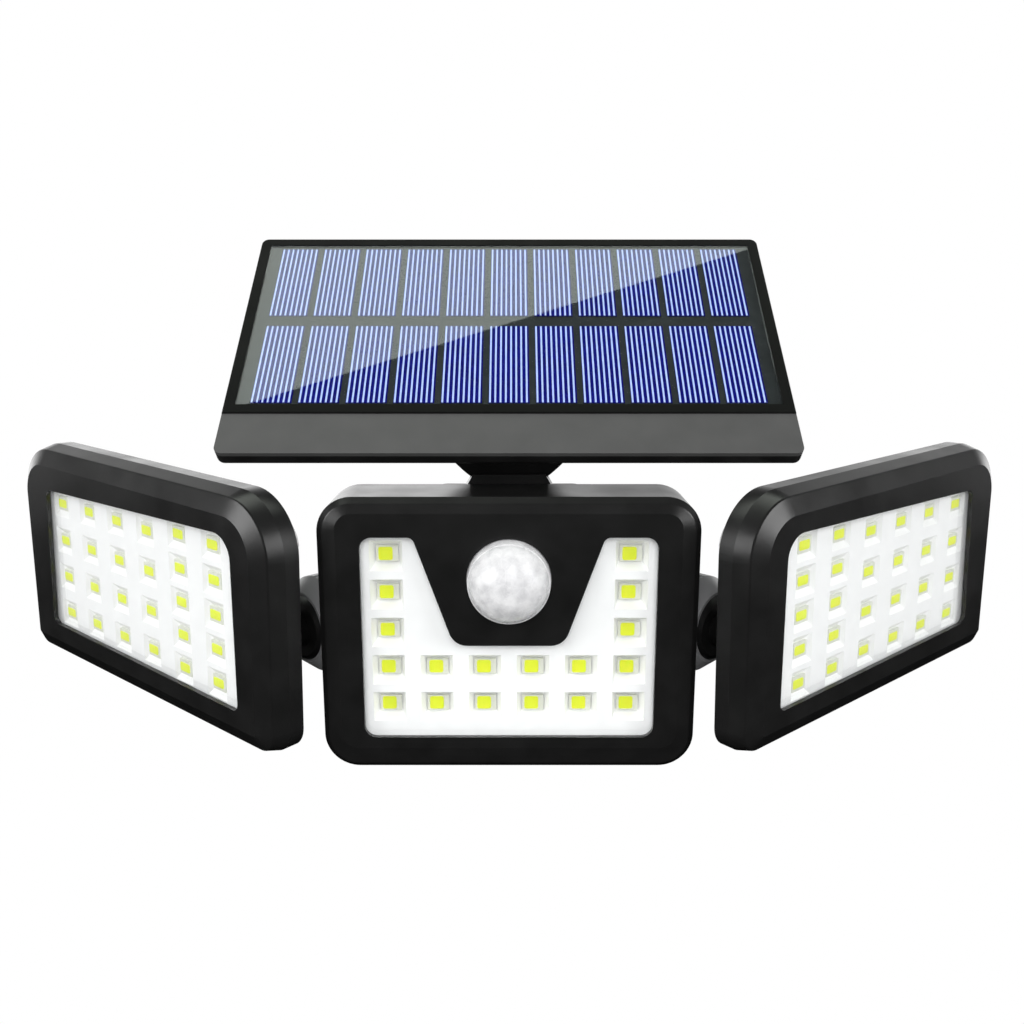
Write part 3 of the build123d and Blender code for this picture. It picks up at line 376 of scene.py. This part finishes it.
# ---- fine pieces --------------------------------------------------------------------------
def add_piece(name, bm, material, on_node):
    """Turn a bmesh in the row frame into a piece that rides on the body of a CAD node."""
    bmesh.ops.recalc_face_normals(bm, faces=bm.faces)
    mesh = bpy.data.meshes.new(name)
    bm.to_mesh(mesh)
    bm.free()
    piece = bpy.data.objects.new(name, mesh)
    bpy.context.collection.objects.link(piece)
    mesh.materials.append(material)
    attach(piece, body_of(NODES[on_node])[0])
    return piece


def solids_of(node_name):
    """The separate solids of a CAD node, each as a list of its faces: normal, area, corners."""
    bm = bmesh.new()
    bm.from_mesh(NODES[node_name].data)
    bmesh.ops.remove_doubles(bm, verts=bm.verts, dist=1e-7)
    waiting = dict.fromkeys(bm.faces)
    found = []
    while waiting:
        queue = [waiting.popitem()[0]]
        solid = []
        while queue:
            face = queue.pop()
            solid.append((face.normal.copy(), face.calc_area(), [v.co.copy() for v in face.verts]))
            for edge in face.edges:
                for other in edge.link_faces:
                    if other in waiting:
                        del waiting[other]
                        queue.append(other)
        found.append(solid)
    bm.free()
    return found


def broad_side(solid, towards):
    """The broadest side of a box that faces a way: its middle, its long, short and outward
    directions, and its length and width."""
    out = max((face for face in solid if face[0].dot(towards) > 0.1), key=lambda face: face[1])[0]
    faces = [corners for normal, _, corners in solid if normal.dot(out) > 0.99]
    points = [point for corners in faces for point in corners]
    middle = sum(points, Vector()) / len(points)
    sides = [b - a for corners in faces for a, b in zip(corners, corners[1:] + corners[:1])]
    short = min(sides, key=lambda side: side.length)
    long = max((side for side in sides
                if abs(side.dot(short)) < 1e-3 * side.length * short.length),
               key=lambda side: side.length)
    long, short = long.normalized(), short.normalized()
    sizes = []
    for way in (long, short):
        reach = [(point - middle).dot(way) for point in points]
        middle = middle + way * (max(reach) + min(reach)) / 2
        sizes.append(max(reach) - min(reach))
    return middle, long, short, out, sizes


def raised_pad(bm, middle, across, up, out, half_w, half_h):
    """Rounded pad that swells gently: an outline, a rounded shoulder and a raised middle."""
    outline = []
    for sx, sy, start in ((1, 1, 0), (-1, 1, 90), (-1, -1, 180), (1, -1, 270)):
        for step in range(6):
            angle = radians(start + step * 18)
            outline.append((sx * (half_w - PAD_CORNER) + PAD_CORNER * cos(angle),
                            sy * (half_h - PAD_CORNER) + PAD_CORNER * sin(angle)))
    rings = [[bm.verts.new(middle + across * x * share + up * y * share + out * PAD_HEIGHT * lift)
              for x, y in outline] for share, lift in PAD_RINGS]
    top = bm.verts.new(middle + out * PAD_HEIGHT * PAD_TOP)
    after = [(i + 1) % len(outline) for i in range(len(outline))]
    for low, high in zip(rings, rings[1:]):
        for i, j in enumerate(after):
            bm.faces.new((low[i], low[j], high[j], high[i]))
    for i, j in enumerate(after):
        bm.faces.new((rings[-1][i], rings[-1][j], top))
    bm.faces.new(list(reversed(rings[0])))


def add_phosphors():
    """The yellow pad of each diode, a little left of the middle of its package."""
    for head, half_w, half_h, aside in PHOSPHOR_PADS:
        bm = bmesh.new()
        for solid in solids_of(f"{head}_leds"):
            middle, across, up, out, (w, h) = broad_side(solid, Vector((0, -1, 0)))
            middle = middle - across * aside * w * (1 if across.x > 0 else -1)
            raised_pad(bm, middle, across, up, out, half_w * w, half_h * h)
        piece = add_piece(f"{head}_phosphors", bm, PHOSPHOR, f"{head}_leds")
        piece.data.shade_smooth()


def add_dome_ring():
    """Fine bead round the dome between its plain border and its facets."""
    low, high = [Vector(corner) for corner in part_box("pir_lens")]
    ball = Vector(((low.x + high.x) / 2, low.y + DOME_R, (low.z + high.z) / 2))
    centre = ball - Vector((0, (DOME_R ** 2 - SEAM_R ** 2) ** 0.5, 0))
    bm = bmesh.new()
    rings = []
    for step in range(BEAD_STEPS):
        around = radians(step * 360 / BEAD_STEPS)
        outward = Vector((cos(around), 0, sin(around)))
        turns = [radians(side * 360 / BEAD_SIDES) for side in range(BEAD_SIDES)]
        rings.append([bm.verts.new(centre + outward * SEAM_R
                                   + BEAD_R * (outward * cos(a) - Vector((0, sin(a), 0))))
                      for a in turns])
    for ring, following in zip(rings, rings[1:] + rings[:1]):
        for i in range(BEAD_SIDES):
            j = (i + 1) % BEAD_SIDES
            bm.faces.new((ring[i], ring[j], following[j], following[i]))
    piece = add_piece("dome_ring", bm, FINISHES["pir_white"], "pir_lens")
    piece.data.shade_smooth()


def add_silver_lines():
    """Silver lines up each solar cell, just proud of it and under the clear sheet."""
    bm = bmesh.new()
    for solid in solids_of("solar_cells"):
        middle, along, across, out, (length, width) = broad_side(solid, Vector((0, -0.6, 0.8)))
        if across.x < 0:
            across = -across
        pitch = width / CELL_PITCHES
        half_length = length / 2 - FINGER_SHORT
        for number in range(FINGERS):
            x = -width / 2 + pitch * (number + FIRST_FINGER)
            low, high = [[bm.verts.new(middle + across * (x + sx * FINGER_HALF * pitch)
                                       + along * sy * half_length + out * lift)
                          for sx, sy in ((-1, -1), (1, -1), (1, 1), (-1, 1))]
                         for lift in (0.0, FINGER_LIFT)]
            bm.faces.new(high)
            for i in range(4):
                j = (i + 1) % 4
                bm.faces.new((low[i], low[j], high[j], high[i]))
    add_piece("cell_silver_lines", bm, SILVER, "solar_cells")


# ---- stage, light and camera --------------------------------------------------------------
def stage_paper(name, base):
    """Studio paper: diffuse for the light on the part, white to the camera and through clear
    pieces. In gloss only the far part glows, low down and least behind the neck, as if black
    flags hung round the front and above."""
    material = bpy.data.materials.new(name)
    material.use_nodes = True
    tree = material.node_tree
    tree.nodes.clear()
    rays = add(tree, "ShaderNodeLightPath")
    spot = add(tree, "ShaderNodeSeparateXYZ",
               links={0: add(tree, "ShaderNodeTexCoord").outputs["Object"]})
    far = add(tree, "ShaderNodeMapRange", {
        "From Min": GLOW_FAR_Y[0], "From Max": GLOW_FAR_Y[1], "To Max": GLOW,
    }, {"Value": spot.outputs["Y"]})
    left = add(tree, "ShaderNodeMapRange", {
        "From Min": GLOW_LEFT_X[0], "From Max": GLOW_LEFT_X[1], "To Min": 1.0,
        "To Max": GLOW_MIDDLE,
    }, {"Value": spot.outputs["X"]})
    right = add(tree, "ShaderNodeMapRange", {
        "From Min": GLOW_RIGHT_X[0], "From Max": GLOW_RIGHT_X[1],
    }, {"Value": spot.outputs["X"]})
    low = add(tree, "ShaderNodeMapRange", {
        "From Min": GLOW_TOP_Z[0], "From Max": GLOW_TOP_Z[1], "To Min": 1.0,
        "To Max": GLOW_ABOVE,
    }, {"Value": spot.outputs["Z"]})
    across = add(tree, "ShaderNodeMath", {"operation": "MAXIMUM"},
                 {0: left.outputs[0], 1: right.outputs[0]})
    behind = add(tree, "ShaderNodeMath", {"operation": "MULTIPLY"},
                 {0: far.outputs[0], 1: across.outputs[0]})
    level = add(tree, "ShaderNodeMath", {"operation": "MULTIPLY"},
                {0: behind.outputs[0], 1: low.outputs[0]})
    gloss = add(tree, "ShaderNodeMath", {"operation": "MULTIPLY"},
                {0: level.outputs[0], 1: rays.outputs["Is Glossy Ray"]})
    clear = add(tree, "ShaderNodeMath", {"operation": "MAXIMUM"},
                {0: rays.outputs["Is Camera Ray"], 1: rays.outputs["Is Transmission Ray"]})
    strength = add(tree, "ShaderNodeMath", {"operation": "MAXIMUM"},
                   {0: clear.outputs[0], 1: gloss.outputs[0]})
    seen = add(tree, "ShaderNodeMath", {"operation": "MAXIMUM"},
               {0: clear.outputs[0], 1: rays.outputs["Is Glossy Ray"]})
    cloth = add(tree, "ShaderNodeBsdfDiffuse", {"Color": linear(base)})
    glow = add(tree, "ShaderNodeEmission", {"Color": (1, 1, 1, 1)},
               {"Strength": strength.outputs[0]})
    mix = add(tree, "ShaderNodeMixShader", links={
        0: seen.outputs[0], 1: cloth.outputs[0], 2: glow.outputs[0]})
    add(tree, "ShaderNodeOutputMaterial", links={"Surface": mix.outputs[0]})
    return material


def add_stage():
    """White floor that curves up into a backdrop."""
    bend = [radians(step * 9) for step in range(1, 11)]
    profile = [(FLOOR_FRONT, FLOOR_Z), (BACKDROP_Y - SWEEP_R, FLOOR_Z)]
    profile += [(BACKDROP_Y - SWEEP_R + SWEEP_R * sin(a), FLOOR_Z + SWEEP_R * (1 - cos(a)))
                for a in bend]
    profile.append((BACKDROP_Y, BACKDROP_TOP))
    bm = bmesh.new()
    rows = [[bm.verts.new((x, y, z)) for x in (-SWEEP_HALF_WIDTH, SWEEP_HALF_WIDTH)]
            for y, z in profile]
    for low, high in zip(rows, rows[1:]):
        bm.faces.new((low[0], low[1], high[1], high[0]))
    mesh = bpy.data.meshes.new("studio_sweep")
    bm.to_mesh(mesh)
    bm.free()
    mesh.shade_smooth()
    mesh.materials.append(stage_paper("studio_paper", "#8C8C8C"))
    sweep = bpy.data.objects.new("studio_sweep", mesh)
    bpy.context.collection.objects.link(sweep)


def add_softbox(name, location, target, size, power, spin=0.0, gloss=True, colour=(1, 1, 1)):
    """A rectangular soft lamp aimed at a target; spin turns it about the upright, in degrees."""
    lamp = bpy.data.lights.new(name, "AREA")
    lamp.shape = "RECTANGLE"
    lamp.size, lamp.size_y = size
    lamp.energy = power
    lamp.color = colour
    holder = bpy.data.objects.new(name, lamp)
    bpy.context.collection.objects.link(holder)
    holder.location = location
    turn = (Vector(target) - Vector(location)).to_track_quat("-Z", "Y").to_euler()
    turn.z += radians(spin)
    holder.rotation_euler = turn
    holder.visible_glossy = gloss


def add_lights():
    """A fill from the front and a key above that draw no highlights, a softbox each side for
    the corners, and a card overhead whose slanting edge draws the diagonal glare on the panel.
    The card's target lies a hair behind it, which settles which way its sides run."""
    add_softbox("front_fill", (0.0, -1.4, 0.52), LIGHT_MIDDLE, (0.9, 0.7), 12, gloss=False)
    add_softbox("key_softbox", (-0.35, -1.25, 1.7), LIGHT_MIDDLE, (0.9, 0.9), 10, gloss=False)
    add_softbox("left_softbox", (-1.16, -0.65, 0.41), (-0.1, -0.1, 0.03), (0.8, 0.7), 10)
    add_softbox("right_softbox", (1.16, -0.65, 0.41), (0.1, -0.1, 0.03), (0.8, 0.7), 10)
    add_softbox("overhead_card", (-0.19, 0.52, 1.5), (-0.19, 0.5201, 0.0), (2.0, 1.0), 11,
                spin=16.9, colour=(0.93, 1.0, 0.91))


def add_air():
    """White to the camera, and a faint even light on the part."""
    world = bpy.data.worlds.new("studio_air")
    bpy.context.scene.world = world
    world.use_nodes = True
    tree = world.node_tree
    tree.nodes.clear()
    rays = add(tree, "ShaderNodeLightPath")
    strength = add(tree, "ShaderNodeMapRange", {"To Min": 0.05, "To Max": 1.0},
                   {"Value": rays.outputs["Is Camera Ray"]})
    sky = add(tree, "ShaderNodeBackground", {"Color": (1, 1, 1, 1)},
              {"Strength": strength.outputs[0]})
    add(tree, "ShaderNodeOutputWorld", links={"Surface": sky.outputs[0]})


def add_camera():
    """At the photograph's angle: 12 degrees above level, 27 cm in front of the heads."""
    camera = bpy.data.cameras.new("camera")
    camera.lens = 33.4
    camera.sensor_width = 36.0
    holder = bpy.data.objects.new("camera", camera)
    bpy.context.collection.objects.link(holder)
    holder.location = (0.0009, -0.3927, 0.1076)
    holder.rotation_euler = Euler((radians(90 - 12.2), 0, 0))
    bpy.context.scene.camera = holder


dress_cad()
add_phosphors()
add_dome_ring()
add_silver_lines()
add_stage()
add_lights()
add_air()
add_camera()
bpy.context.scene.view_settings.view_transform = "Standard"
